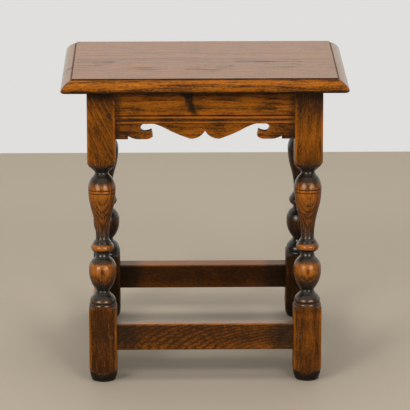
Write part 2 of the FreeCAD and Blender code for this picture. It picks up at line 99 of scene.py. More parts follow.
# Up the turned work, in metres: how worn the wood is, how black with old stain and how thick with wax. The
# black under the ring, where it faces down, is painted shade.
turned_marks = [
    (0, 0, 1, 0.2), (0.012, 0.1, 0.8, 0.2), (0.015, 0.6, 0.2, 0.1), (0.024, 0.85, 0, 0.05),
    (0.112, 0.85, 0, 0.05), (0.1165, 0.7, 0.05, 0.2), (0.1195, 0.25, 0.45, 0.4), (0.1235, 0.15, 0.6, 0.6),
    (0.1255, 0.2, 0.45, 0.9), (0.1274, 0.1, 0.7, 0.7), (0.1282, 0, 0.9, 0.2), (0.1296, 0.1, 0.8, 0.8),
    (0.1315, 0.3, 0.5, 1), (0.135, 0.25, 0.6, 1), (0.138, 0.05, 0.9, 0.9), (0.142, 0, 1, 0.9),
    (0.154, 0, 1, 0.8), (0.16, 0.1, 0.75, 0.5), (0.167, 0.25, 0.35, 0.35), (0.174, 0.35, 0.15, 0.35),
    (0.177, 0.75, 0.05, 0.4), (0.182, 1, 0, 0.6), (0.192, 0.9, 0.05, 0.9), (0.196, 0.35, 0.55, 0.9),
    (0.199, 0.1, 0.85, 0.9), (0.2125, 0, 1, 0.9), (0.2155, 0.1, 0.85, 0.4), (0.218, 0.95, 0, 0.7),
    (0.224, 1, 0, 0.9), (0.2262, 0.3, 0.55, 0.9), (0.2275, 0.1, 0.9, 1), (0.238, 0.05, 0.78, 0.9),
    (0.25, 0.1, 0.42, 0.4), (0.262, 0.22, 0.15, 0.3), (0.275, 0.2, 0.08, 0.3), (0.29, 0.42, 0, 0.35),
    (0.3, 0.6, 0, 0.35), (0.307, 0.85, 0, 0.35), (0.317, 0.8, 0, 0.6), (0.322, 0.55, 0.2, 0.8),
    (0.327, 0.35, 0.45, 0.9), (0.332, 0.05, 0.8, 0.9), (0.3455, 0, 1, 0.9), (0.354, 0.05, 0.85, 0.6),
    (0.3575, 0.25, 0.45, 0.3), (0.3615, 0.45, 0.1, 0.2), (0.368, 0.6, 0.1, 0.1), (0.479, 0.6, 0.1, 0.1),
]
# The same up the flats of the square blocks, for the legs of either hand, where the wax is thin throughout.
# The black at the tops of the upper blocks is painted shadow of the seat.
block_marks = {
    "left": [
        (0.0145, 0.1, 0.4), (0.022, 0.04, 0.32), (0.06, 0.08, 0.24), (0.1, 0.03, 0.28), (0.117, 0.05, 0.24),
        (0.1235, 0.2, 0.12), (0.3565, 0.15, 0.3), (0.362, 0.2, 0.05), (0.4, 0.27, 0), (0.42, 0.25, 0),
        (0.443, 0.36, 0), (0.457, 0.18, 0.12), (0.467, 0.05, 0.35), (0.473, 0, 0.75), (0.479, 0, 0.75),
    ],
    "right": [
        (0.0145, 0.1, 0.4), (0.022, 0.08, 0.2), (0.05, 0.11, 0.12), (0.075, 0.22, 0.05), (0.1, 0.12, 0.1),
        (0.107, 0.28, 0), (0.115, 0.1, 0.15), (0.1235, 0.2, 0.12), (0.3565, 0.08, 0.4), (0.366, 0.15, 0.1),
        (0.385, 0.33, 0), (0.402, 0.56, 0), (0.425, 0.4, 0), (0.44, 0.2, 0.15), (0.452, 0.06, 0.4),
        (0.466, 0, 0.5), (0.479, 0, 0.7),
    ],
}
flat_wax = 0.05

# Heights on the leg of the two scored lines, and of where the grain of the
# front left leg starts to sweep aside
score_heights = (0.3113, 0.3163)
sweep_foot = 0.365
# The side of the turned work that faces the lights: the turned work is painted lightest there, and painted
# shade darkens it towards the sides
lit_side = (-0.24, -0.97, 0)

# The left half of an apron's shaped lower edge: how far out along the half
# length, how far up the shaped height, and how far the next stretch swells
scroll_shares = [
    (0.858, 0, 0),
    (0.855, 0.21, 0.053),
    (0.74, 0, 0),
    (0.646, 0, 0.03),
    (0.581, 0.17, 0),
    (0.594, 0.575, -0.025),
    (0.667, 0.455, -0.328),
    (0.656, 0.985, -0.016),
    (0.56, 0.99, -0.03),
    (0.387, 0.535, 0.022),
    (0.163, 0.02, 0.155),
]
cusp_share = 0.54
# The run moulding of an apron, from its upper field down: widths, and how far
# each member lies in from the face
groove_width, bead_width, cove_width, fillet_width = 0.0021, 0.0035, 0.0049, 0.0029
groove_depth, bead_inset, fillet_inset, lower_inset = 0.0016, 0.0007, 0.0004, 0.002
bead_swell, cove_hollow, lower_step = 0.0007, 0.0019, 0.0005
# How far a tool or an uncut blank reaches past the finished wood, and a little
# to spare at a cut
overrun, spare = 0.01, 0.001

# Quarter turns of the four sides
quarters = {"front": 0, "right": 90, "back": 180, "left": 270}


def length(name, description, default):
    """A size in metres."""
    return FloatProperty(name=name, description=description, default=default, unit="LENGTH", precision=4)


def turn(name, description, degrees):
    """An angle."""
    return FloatProperty(name=name, description=description, default=math.radians(degrees), unit="ROTATION")


def colour(name, description, default):
    """A colour in linear light."""
    return FloatVectorProperty(name=name, description=description, default=default, subtype="COLOR",
                               size=4, min=0, max=1)


class StoolSizes(bpy.types.PropertyGroup):
    """Sizes of the joint stool, taken from its frame where it holds them."""

    stool_height: length("Stool height", "From the floor to the top of the seat", seat_high.z)
    under_seat: length("Under the seat", "From the floor to the underside of the seat", seat_low.z)
    seat_width: length("Seat width", "Length of the board", seat_high.x - seat_low.x)
    seat_depth: length("Seat depth", "Depth of the board", seat_high.y - seat_low.y)
    edge_width: length("Edge width", "Width of the moulded edge of the board", 0.018)
    edge_quirk: length("Edge quirk", "Step between the flat of the board and its moulding", 0.0015)
    edge_lip: length("Edge lip", "Height of the board's lower roll", 0.0048)
    edge_lip_width: length("Edge lip width", "How far the underside stands in from the edge", 0.0045)
    edge_swell: length("Edge swell", "Swell of the board's moulding", 0.0024)
    edge_lip_swell: length("Edge lip swell", "Swell of the board's lower roll", 0.0015)
    worn_mitre: length("Worn mitre", "Rounding of the moulding's corners", 0.0038)
    leg_square: length("Leg square", "Side of the square blocks of the legs", 0.045)
    leg_arris: length("Leg arris", "Rounding of the blocks' edges", 0.0013)
    leg_rake: turn("Leg rake", "Lean of the legs from front and back", 6)
    seat_overhang_sides: length("Overhang", "How far the board stands out over the legs in front", 0.018)
    turning_play: length("Turning play", "How far the lathe work runs out past the blocks' corners", 0.0014)
    turning_steps: IntProperty(name="Turning steps", description="Facets round the turned parts",
                               default=80, min=24, max=160)
    apron_depth: length("Apron depth", "Height of an apron", 0.0786)
    apron_thickness: length("Apron thickness", "Thickness of an apron", 0.022)
    rail_setback: length("Rail setback", "How far the rails stand in from the legs' outer faces", 0.0025)
    scroll_height: length("Scroll height", "Height of the shaped lower edge", 0.025)
    field_height: length("Field height", "Plain height of an apron above its moulding", 0.0395)
    stretcher_top: length("Stretcher top", "Height of the stretchers' upper edge along the legs", 0.0955)
    stretcher_depth: length("Stretcher depth", "Height of a stretcher's section", 0.0436)
    stretcher_thickness: length("Stretcher thickness", "Thickness of a stretcher", 0.021)
    worn_arris: length("Worn arris", "Rounding of the stretchers' edges", 0.0018)
    soft_arris: length("Soft arris", "Rounding of the sawn and moulded edges", 0.0005)
    peg_radius: length("Peg radius", "Radius of the pegs", 0.0038)
    peg_proud: length("Peg proud", "How far the pegs stand out", 0.0009)
    peg_from_axis: length("Peg from axis", "How far the pegs stand from the legs' axes", 0.013)
    peg_depth: length("Peg depth", "Length of a peg in its hole", 0.0235)
    screw_lean: turn("Screw lean", "Lean of the screws that hold the seat", 16)
    screw_seat: length("Screw seat", "Wood between a screw's head and the seat", 0.016)
    screw_from_shoulder: length("Screw place", "From the apron's shoulder to the screw", 0.028)
    pocket_radius: length("Pocket radius", "Radius of the pocket that a screw goes in by", 0.0048)
    pocket_length: length("Pocket length", "Length of that pocket", 0.046)


class StoolColours(bpy.types.PropertyGroup):
    """Colours of the joint stool's finishes and of the stage."""

    # The amber also paints highlights: on the aprons' bead and fillet edge, and on the side of the turned
    # work that faces the lights.
    worn: colour("Worn oak", "Amber oak where hands have worn the stain", (0.44, 0.130, 0.006, 1))
    body: colour("Stained oak", "Brown oak under the stain", (0.058, 0.020, 0.0045, 1))
    # The black is old stain, and it also paints shade: under the seat's lip, the seat's shadow on the aprons
    # and the blocks' tops, under the legs' rings, and over the rear legs and the back and side stretchers.
    stain_and_shade: colour("Old stain", "Black stain in the hollows", (0.013, 0.0085, 0.005, 1))
    peg: colour("Pegs", "End grain of the pegs", (0.10, 0.036, 0.010, 1))
    steel: colour("Screws", "Dull steel of the screws", (0.42, 0.40, 0.37, 1))
    floor: colour("Floor", "Plain pale floor", (0.42, 0.36, 0.285, 1))
    wall: colour("Wall", "Plain pale background", (0.745, 0.738, 0.722, 1))
    gleam: colour("Gleam", "Colour of the room in the gloss of the wax", (0.752, 0.735, 0.675, 1))


def leg_spacing():
    """Half the distance between the legs' axes at the floor, across and deep."""
    sizes = bpy.context.scene.stool_sizes
    wide = (leg_low.x + leg_high.x) / 2
    square = sizes.leg_square / math.cos(sizes.leg_rake)
    top = sizes.seat_depth - 2 * sizes.seat_overhang_sides - square
    return wide, top / 2 + sizes.under_seat * math.tan(sizes.leg_rake)


def rest():
    """Object mode, with nothing selected."""
    if bpy.context.mode != "OBJECT":
        bpy.ops.object.mode_set(mode="OBJECT")
    bpy.ops.object.select_all(action="DESELECT")


def pick(*pieces):
    """Select these pieces alone, the last one active."""
    rest()
    for piece in pieces:
        piece.select_set(True)
    bpy.context.view_layer.objects.active = pieces[-1]


def edit(piece):
    """Edit mode on one piece, with all of it selected."""
    pick(piece)
    bpy.ops.object.mode_set(mode="EDIT")
    bpy.ops.mesh.select_mode(type="VERT")
    bpy.ops.mesh.select_all(action="SELECT")


def block(name, sides, centre, flat=False):
    """A box, or a flat sheet, with these sides round a point."""
    rest()
    add = bpy.ops.mesh.primitive_plane_add if flat else bpy.ops.mesh.primitive_cube_add
    add(size=1, location=centre)
    piece = bpy.context.object
    piece.name = name
    piece.scale = sides
    bpy.ops.object.transform_apply(location=True, scale=True)
    return piece


def draw_line(name, spots):
    """A chain of edges, drawn by extruding one point from spot to spot."""
    piece = block(name, (0.01, 0.01, 1), spots[0], flat=True)
    edit(piece)
    bpy.ops.mesh.merge(type="CENTER")
    for here, there in zip(spots, spots[1:]):
        step = Vector(there) - Vector(here)
        bpy.ops.mesh.extrude_region_move(TRANSFORM_OT_translate={"value": step})
    bpy.ops.mesh.select_all(action="SELECT")
    return piece


def close_up():
    """Join what meets, turn all faces outward, and leave edit mode."""
    bpy.ops.mesh.select_all(action="SELECT")
    bpy.ops.mesh.remove_doubles(threshold=0.00001)
    bpy.ops.mesh.normals_make_consistent(inside=False)
    rest()


def lathe(name, line, steps):
    """A line of radius and height, turned about the upright axis."""
    piece = draw_line(name, [(radius, 0, height) for radius, height in line])
    bpy.ops.mesh.spin(steps=steps, angle=math.tau, center=(0, 0, 0), axis=(0, 0, 1))
    close_up()
    return piece


def prism(name, spots, push):
    """A closed outline, filled and extruded."""
    piece = draw_line(name, spots)
    bpy.ops.mesh.edge_face_add()
    bpy.ops.mesh.extrude_region_move(TRANSFORM_OT_translate={"value": push})
    close_up()
    return piece


def swell_points(start, finish, rise, pitch):
    """Points from start to finish along an arc that swells to the right."""
    (across, up), (across_end, up_end) = start, finish
    chord = math.hypot(across_end - across, up_end - up)
    if not rise:
        return [start]
    radius = chord * chord / (8 * abs(rise)) + abs(rise) / 2
    half = math.asin(min(1, chord / 2 / radius))
    if abs(rise) > chord / 2:
        half = math.pi - half
    count = max(2, round(2 * half * radius / pitch))
    along = ((across_end - across) / chord, (up_end - up) / chord)
    right = (along[1], -along[0])
    points = []
    for index in range(count):
        angle = half * (2 * index / count - 1)
        forward = chord / 2 + radius * math.sin(angle)
        aside = math.copysign(radius * math.cos(angle) - radius + abs(rise), rise)
        points.append((across + along[0] * forward + right[0] * aside,
                       up + along[1] * forward + right[1] * aside))
    return points


def work(piece, kind, **settings):
    """Add a modifier and apply it."""
    pick(piece)
    modifier = piece.modifiers.new(kind.title(), kind)
    for setting, content in settings.items():
        setattr(modifier, setting, content)
    bpy.ops.object.modifier_apply(modifier=modifier.name)


def combine(piece, tool, how):
    """Cut a piece with a tool, or keep what they share, and drop the tool."""
    work(piece, "BOOLEAN", operation=how, object=tool, solver="EXACT")
    bpy.data.objects.remove(tool)


def place(piece, where):
    """Put a piece where it belongs, with its place in its mesh."""
    pick(piece)
    piece.matrix_world = where @ piece.matrix_world
    bpy.ops.object.transform_apply(location=True, rotation=True, scale=True)


def trim(piece, height, keep_below):
    """Cut a piece level at a height and close the cut."""
    edit(piece)
    bpy.ops.mesh.bisect(plane_co=(0, 0, height), plane_no=(0, 0, 1), use_fill=True,
                        clear_outer=keep_below, clear_inner=not keep_below)
    close_up()


def round_edges(piece, width, chosen):
    """Round the edges that are chosen by the places of their two ends."""
    edit(piece)
    bpy.ops.mesh.select_mode(type="EDGE")
    bpy.ops.mesh.select_all(action="DESELECT")
    bpy.ops.object.mode_set(mode="OBJECT")
    for edge in piece.data.edges:
        edge.select = chosen(*(piece.data.vertices[index].co for index in edge.vertices))
    bpy.ops.object.mode_set(mode="EDIT")
    bpy.ops.mesh.bevel(offset=width, segments=4, affect="EDGES")
    close_up()


def lies_along(axis, start, end):
    """Whether an edge runs along an axis: 0 for X and 1 for Y."""
    run = start - end
    return abs(run[axis]) > 0.9 * run.length


def soften(piece, width, sharpest=30):
    """Round the sharp edges a little and smooth the shading."""
    work(piece, "BEVEL", width=width, segments=2, limit_method="ANGLE",
         angle_limit=math.radians(sharpest), miter_outer="MITER_ARC", use_clamp_overlap=True)
    smooth(piece)


def smooth(piece, sharpest=40):
    """Smooth shading that leaves flat faces flat."""
    pick(piece)
    bpy.ops.object.shade_smooth_by_angle(angle=math.radians(sharpest))
    work(piece, "WEIGHTED_NORMAL", keep_sharp=True, weight=80)


def copy_of(piece, name):
    """A copy with its own mesh."""
    pick(piece)
    bpy.ops.object.duplicate(linked=False)
    twin = bpy.context.object
    twin.name = name
    return twin


def set_out(first, name, places):
    """Copies of a small piece at these places, joined in one piece."""
    copies = []
    for where in places:
        copies.append(copy_of(first, name))
        place(copies[-1], where)
    pick(*copies)
    if len(copies) > 1:
        bpy.ops.object.join()
    bpy.context.object.name = name
    return bpy.context.object


def dress(piece, finish, slot, *nodes):
    """Give a piece its finish and its body, and hide the nodes that it stands for."""
    piece.data.materials.clear()
    piece.data.materials.append(finish)
    piece.data.name = piece.name
    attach(piece, "root")
    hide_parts(*nodes)


def turned(angle, axis, spot=(0, 0, 0)):
    """A turn about an axis, and then a move to a spot."""
    return Matrix.Translation(spot) @ Matrix.Rotation(angle, 4, axis)


def leg_where(hand, quarter):
    """Where a leg stands: its axis at floor level, leaning in by the rake."""
    wide, deep = leg_spacing()
    rake = bpy.context.scene.stool_sizes.leg_rake
    return turned(math.radians(quarter), "Z") @ turned(-rake, "X", (hand * wide, -deep, 0))


def is_long(side):
    """The front and back run along the stool, between the legs that lean."""
    return side in ("front", "back")


def tilt_of(side):
    """How far a rail leans with the legs."""
    return bpy.context.scene.stool_sizes.leg_rake if is_long(side) else 0


def rail_offset(thickness):
    """How far a rail's middle stands out from the plane of the legs' axes."""
    sizes = bpy.context.scene.stool_sizes
    return sizes.leg_square / 2 - sizes.rail_setback - thickness / 2


def rail_where(side, thickness):
    """Where a rail stands: in its own middle plane, between two legs."""
    wide, deep = leg_spacing()
    tilt = tilt_of(side)
    offset = rail_offset(thickness)
    away = (deep if is_long(side) else wide) + offset * math.cos(tilt)
    spot = (0, -away, offset * math.sin(tilt))
    return turned(math.radians(quarters[side]), "Z") @ turned(-tilt, "X", spot)


def apron_top(sizes, tilt):
    """Where an apron's outer face meets the seat, along its own height."""
    face = sizes.leg_square / 2 - sizes.rail_setback
    return (sizes.under_seat - face * math.sin(tilt)) / math.cos(tilt)


def peg_levels(sizes):
    """How far up the legs the pegs stand."""
    return {"apron": apron_top(sizes, sizes.leg_rake) - sizes.apron_depth / 2,
            "stretcher": sizes.stretcher_top - sizes.stretcher_depth / 2}


def shoulder(side, level):
    """How far out a rail meets the leg's inner face at a level."""
    sizes = bpy.context.scene.stool_sizes
    wide, deep = leg_spacing()
    lean = 0 if is_long(side) else sizes.leg_rake
    reach = wide if is_long(side) else deep
    return reach - level * math.tan(lean) - sizes.leg_square / 2 / math.cos(lean)


def feed(node, inputs):
    """Give a node's inputs plain values, or join them to what is worked out."""
    for socket, content in inputs.items():
        content = getattr(content, "socket", content)
        if isinstance(content, bpy.types.NodeSocket):
            node.id_data.links.new(content, node.inputs[socket])
        else:
            node.inputs[socket].default_value = content


def new_node(tree, kind, inputs=None, **settings):
    """A node with its settings and inputs."""
    made = tree.nodes.new("ShaderNode" + kind)
    for setting, content in settings.items():
        setattr(made, setting, content)
    feed(made, inputs or {})
    return made


class Mask:
    """A number or a place that is worked out all over the surface. Sums are
    written with it as with a plain number, and each step becomes a node."""

    def __init__(self, socket):
        self.socket = socket

    def node(self, kind, inputs, out=0, **settings):
        """The result of a node in this tree."""
        return Mask(new_node(self.socket.id_data, kind, inputs, **settings).outputs[out])

    def math(self, operation, *others, clamp=False):
        """One step of arithmetic."""
        return self.node("Math", dict(enumerate((self, *others))), operation=operation, use_clamp=clamp)

    def vector(self, operation, *others):
        """One step of arithmetic with places."""
        out = "Value" if operation in ("LENGTH", "DISTANCE", "DOT_PRODUCT") else "Vector"
        return self.node("VectorMath", dict(enumerate((self, *others))), out, operation=operation)

    def __add__(self, other):
        return self.math("ADD", other)

    def __sub__(self, other):
        return self.math("SUBTRACT", other)

    def __mul__(self, other):
        return self.math("MULTIPLY", other)

    def __abs__(self):
        return self.math("ABSOLUTE")

    def most(self, *others):
        """The largest of some values."""
        largest = self
        for other in others:
            largest = largest.math("MAXIMUM", other)
        return largest

    def spread(self, low, high, low_out=0.0, high_out=1.0, kind="SMOOTHSTEP"):
        """The value spread from one range to another, and held at its ends."""
        inputs = {"Value": self, "From Min": low, "From Max": high, "To Min": low_out, "To Max": high_out}
        return self.node("MapRange", inputs, interpolation_type=kind, clamp=True)

    def choose(self, below, above):
        """One value where the mask is 0 and another where it is 1."""
        return self.spread(0, 1, below, above)

    def band(self, level, near, far, strength=1.0):
        """A band round a level, full to one distance and gone at another."""
        return abs(self - level).spread(near, far, strength, 0.0)

    def blend(self, first, second):
        """One colour over another by this share."""
        return self.node("Mix", {0: self, 6: first, 7: second}, 2, data_type="RGBA", clamp_factor=True)

    def parts(self):
        """The three parts of a place."""
        return [Mask(part) for part in new_node(self.socket.id_data, "SeparateXYZ", {0: self}).outputs]

    def noise(self, scale, detail=2.0, roughness=0.5, seed=None, out="Fac"):
        """Noise that is drawn out by its own scale along each axis."""
        inputs = {"Vector": self.vector("MULTIPLY", scale), "Scale": 1.0, "Detail": detail,
                  "Roughness": roughness}
        if seed is None:
            return self.node("TexNoise", inputs, out)
        return self.node("TexNoise", {**inputs, "W": seed}, out, noise_dimensions="4D")


def new_group(name, inputs, outputs):
    """A shader node group, whose named inputs and outputs are given by kind."""
    group = bpy.data.node_groups.new(name, "ShaderNodeTree")
    for way, sockets in (("INPUT", inputs), ("OUTPUT", outputs)):
        for kind, labels in sockets.items():
            for label in labels:
                group.interface.new_socket(name=label, in_out=way, socket_type="NodeSocket" + kind)
    given = group.nodes.new("NodeGroupInput").outputs
    return {socket.name: Mask(socket) for socket in given}, group.nodes.new("NodeGroupOutput")


def oak_grain_group():
    """Growth rings, streaks, pores and blotches of oak whose grain runs along Z."""
    given, leave = new_group("Oak grain", {"Vector": ("Vector", "Pith"),
                                           "Float": ("Seed", "Ring Width", "Waviness")},
                             {"Float": ("Growth", "Streak", "Pores", "Blotch", "Height")})
    spot, seed = given["Vector"], given["Seed"]
    waves = spot.noise((9, 9, 3.2), seed=seed, out="Color").vector("SUBTRACT", (0.5, 0.5, 0.5))
    bent = waves.node("VectorMath", {0: waves, "Scale": given["Waviness"]}, operation="SCALE")
    wavy = spot.vector("ADD", bent)
    from_pith = wavy.vector("SUBTRACT", given["Pith"]).vector("MULTIPLY", (1, 1, 0.02)).vector("LENGTH")
    rings = from_pith.math("DIVIDE", given["Ring Width"])
    phase = (spot.noise((60, 60, 6), seed=seed) * 1.6 + rings).math("FRACT")
    growth = phase.spread(0.0, 0.5, 1.0, 0.0).most(phase.spread(0.85, 1.0))
    streak = wavy.noise((400, 400, 30), 4.0, 0.75, seed)
    flecks = wavy.noise((650, 650, 230), 2.0, 0.6, seed)
    streak = flecks * 0.4 + streak * 0.6
    pores = wavy.noise((1500, 1500, 55), 1.0, seed=seed)
    pores = (pores + growth.spread(0.35, 0.9, 0.0, 0.08)).spread(0.66, 0.73)
    blotch = spot.noise((62, 62, 24), 3.0, 0.6, seed)
    height = streak * 0.35 - pores - growth * 0.25
    feed(leave, {"Growth": growth, "Streak": streak, "Pores": pores, "Blotch": blotch, "Height": height})
    return leave.id_data


def old_stain_group():
    """Stain worn thin to amber oak, and thick and black where it was left."""
    given, leave = new_group("Old stain", {
        "Float": ("Growth", "Streak", "Pores", "Blotch", "Worn", "Black", "Contrast", "Figure"),
        "Color": ("Worn Colour", "Body Colour", "Black Colour"),
    }, {"Color": ("Color",), "Float": ("Roughness", "Shine")})
    pores = given["Pores"]
    growth = (given["Growth"] - 0.4) * given["Figure"]
    streak = (given["Streak"] - 0.5) * 5.2
    patchy = (given["Blotch"] - 0.5) * 1.1
    worn = (streak + patchy - growth).math("MULTIPLY_ADD", given["Contrast"], given["Worn"], clamp=True)
    black = (given["Black"] - patchy * 0.3 - streak * 0.15).spread(0.0, 1.0)
    black = black.math("ADD", pores * 0.4, clamp=True)
    shade = black.blend(worn.blend(given["Body Colour"], given["Worn Colour"]), given["Black Colour"])
    shine = pores * -0.5 - streak * 0.22 + 1.0
    feed(leave, {"Color": shade, "Roughness": (black + pores).choose(0.38, 0.42), "Shine": shine})
    return leave.id_data


groups = {}
# How the grain of a board or a rail lies: along X
lying = (0, math.radians(90), 0)


def new_finish(name):
    """A material and its shader."""
    finish = bpy.data.materials.new(name)
    finish.use_nodes = True
    return finish, finish.node_tree.nodes["Principled BSDF"]


def spots_on(tree):
    """The places on the piece that wears a material."""
    return Mask(new_node(tree, "TexCoord").outputs["Object"])


def oak_finish(name, where, grain_turn, growth, masks, sweep=0):
    """Stained and waxed oak. grain_turn is how the grain lies, and growth how
    the tree grew: its seed, the width of its rings, its pith and how wavy it is.
    masks gives, from the piece's own coordinates, how thick the wax is and what
    goes into the stain: how worn, black and uneven the wood is, and how strong
    its figure. The grain may sweep aside above a height."""
    colours = bpy.context.scene.stool_colours
    finish, shader = new_finish(name)
    tree = finish.node_tree
    spots = spots_on(tree)
    own = spots.node("Mapping", {"Vector": spots, "Location": where.to_translation(),
                                 "Rotation": where.to_euler()}, vector_type="TEXTURE")
    swept = own
    if sweep:
        aside = (own.parts()[2] - sweep_foot).most(0.0) * sweep
        swept = own.vector("ADD", own.node("CombineXYZ", {"X": aside}))
    along = own.node("Mapping", {"Vector": swept, "Rotation": grain_turn}, vector_type="TEXTURE")
    grown = dict(zip(("Seed", "Ring Width", "Pith", "Waviness"), growth))
    grain = new_node(tree, "Group", {"Vector": along, **grown}, node_tree=groups["grain"])
    wax, stained = masks(own)
    stained.update({label: grain.outputs[label] for label in ("Growth", "Streak", "Pores", "Blotch")})
    stained.update({"Body Colour": colours.body, "Worn Colour": colours.worn, "Black Colour": colours.stain_and_shade})
    stain = new_node(tree, "Group", stained, node_tree=groups["stain"])
    bump = new_node(tree, "Bump", {"Height": grain.outputs["Height"], "Strength": 0.25, "Distance": 0.0004})
    feed(shader, {"Base Color": stain.outputs["Color"], "Roughness": stain.outputs["Roughness"],
                  "Normal": bump.outputs[0], "Specular IOR Level": 0.06, "Coat Roughness": 0.26,
                  "Coat Weight": Mask(stain.outputs["Shine"]).math("MULTIPLY", wax, clamp=True)})
    return finish


def tone_ramp(level, marks):
    """Wear, black stain and wax by height, from a run of marks."""
    low, high = marks[0][0], marks[-1][0]
    ramp = new_node(level.socket.id_data, "ValToRGB", {"Fac": level.spread(low, high, kind="LINEAR")})
    stops = ramp.color_ramp.elements
    for index, (height, worn, black, *wax) in enumerate(marks):
        share = (height - low) / (high - low)
        stop = stops[index] if index < 2 else stops.new(share)
        stop.position = share
        stop.color = (worn, black, wax[0] if wax else flat_wax, 1)
    return Mask(ramp.outputs[0])


def height_tones(level, marks):
    """Wear, black stain and wax by height, in as many ramps as a long run of
    marks needs, since one ramp holds no more than 32 stops."""
    tones = None
    most = 31
    for start in range(0, len(marks) - 1, most):
        run = marks[start:start + most + 1]
        ramp = tone_ramp(level, run)
        tones = level.math("GREATER_THAN", run[0][0]).blend(tones, ramp) if tones else ramp
    return [Mask(part) for part in new_node(level.socket.id_data, "SeparateColor", {0: tones}).outputs]


class STOOL_OT_stage(bpy.types.Operator):
    """Set the floor, the light and the camera"""

    bl_idname = "stool.stage"
    bl_label = "Stage"

    def execute(self, context):
        colours = context.scene.stool_colours
        self.lay_floor(colours)
        self.light_room(context, colours)
        self.hang_lamps(context)
        self.aim_camera(context)
        context.scene.view_settings.view_transform = "Standard"
        return {"FINISHED"}

    def lay_floor(self, colours):
        """A plain pale floor that ends where the wall would stand."""
        behind, before, aside = 1.125, 9.0, 6.0
        floor = block("floor", (2 * aside, behind + before, 1), (0, (behind - before) / 2, 0), flat=True)
        finish, shader = new_finish("plain_floor")
        feed(shader, {"Base Color": colours.floor, "Roughness": 0.6, "Specular IOR Level": 0.3})
        floor.data.materials.append(finish)

    def light_room(self, context, colours):
        """Soft light from all round, and the pale wall that the eye and gloss see."""
        world = bpy.data.worlds.new("pale_room")
        context.scene.world = world
        world.use_nodes = True
        tree = world.node_tree
        tree.nodes.clear()
        path = new_node(tree, "LightPath").outputs
        seen = Mask(path["Is Camera Ray"]).most(path["Is Transmission Ray"])
        toward = Mask(new_node(tree, "TexCoord").outputs["Generated"])
        aside, behind, above = toward.parts()
        bright = behind.spread(-0.3, 0.2).most(above.spread(0.45, 0.85)).spread(0, 1, 0.01, 1.2, "LINEAR")
        for window in ((-0.59, -0.785, 0.19), (0.485, -0.855, 0.19)):
            bright += toward.vector("DOT_PRODUCT", window).spread(0.94, 0.99, 0, 11.0)
        soft, pale, shine = (new_node(tree, "Background", {"Color": tint, "Strength": strength}).outputs[0]
                             for tint, strength in (((1, 0.985, 0.96, 1), 0.42), (colours.wall, 1.0),
                                                    (colours.gleam, bright)))
        either = new_node(tree, "MixShader", {0: path["Is Glossy Ray"], 1: soft, 2: shine}).outputs[0]
        either = new_node(tree, "MixShader", {0: seen, 1: either, 2: pale}).outputs[0]
        new_node(tree, "OutputWorld", {0: either})

    def hang_lamps(self, context):
        """Two windows in front and a broad light above, which all face the stool."""
        for name, spot, size, power in (
            ("window_left", (-1.5, -1.9, 2.3), 0.8, 26),
            ("window_right", (1.0, -2.1, 2.3), 0.6, 18),
            ("ceiling", (0, 0.2, 2.9), 2.0, 42),
        ):
            lamp = bpy.data.lights.new(name, "AREA")
            lamp.size = size
            lamp.energy = power
            lamp.color = (1, 0.98, 0.95)
            light = bpy.data.objects.new(name, lamp)
            context.scene.collection.objects.link(light)
            light.visible_glossy = False
            light.location = spot
            light.rotation_euler = (Vector(spot) - Vector((0, 0, 0.25))).to_track_quat("Z", "Y").to_euler()

    def aim_camera(self, context):
        """The photograph's view: a long lens, from above and in front."""
        focal_pixels = 2502.78
        picture_pixels = 410
        data = bpy.data.cameras.new("camera")
        data.sensor_width = 36
        data.lens = focal_pixels * data.sensor_width / picture_pixels
        data.clip_end = 50
        camera = bpy.data.objects.new("camera", data)
        context.scene.collection.objects.link(camera)
        camera.location = (-0.0558, -3.9685, 1.5434)
        camera.rotation_euler = (math.radians(90 - 18.06), 0, math.radians(-0.83))
        context.scene.camera = camera


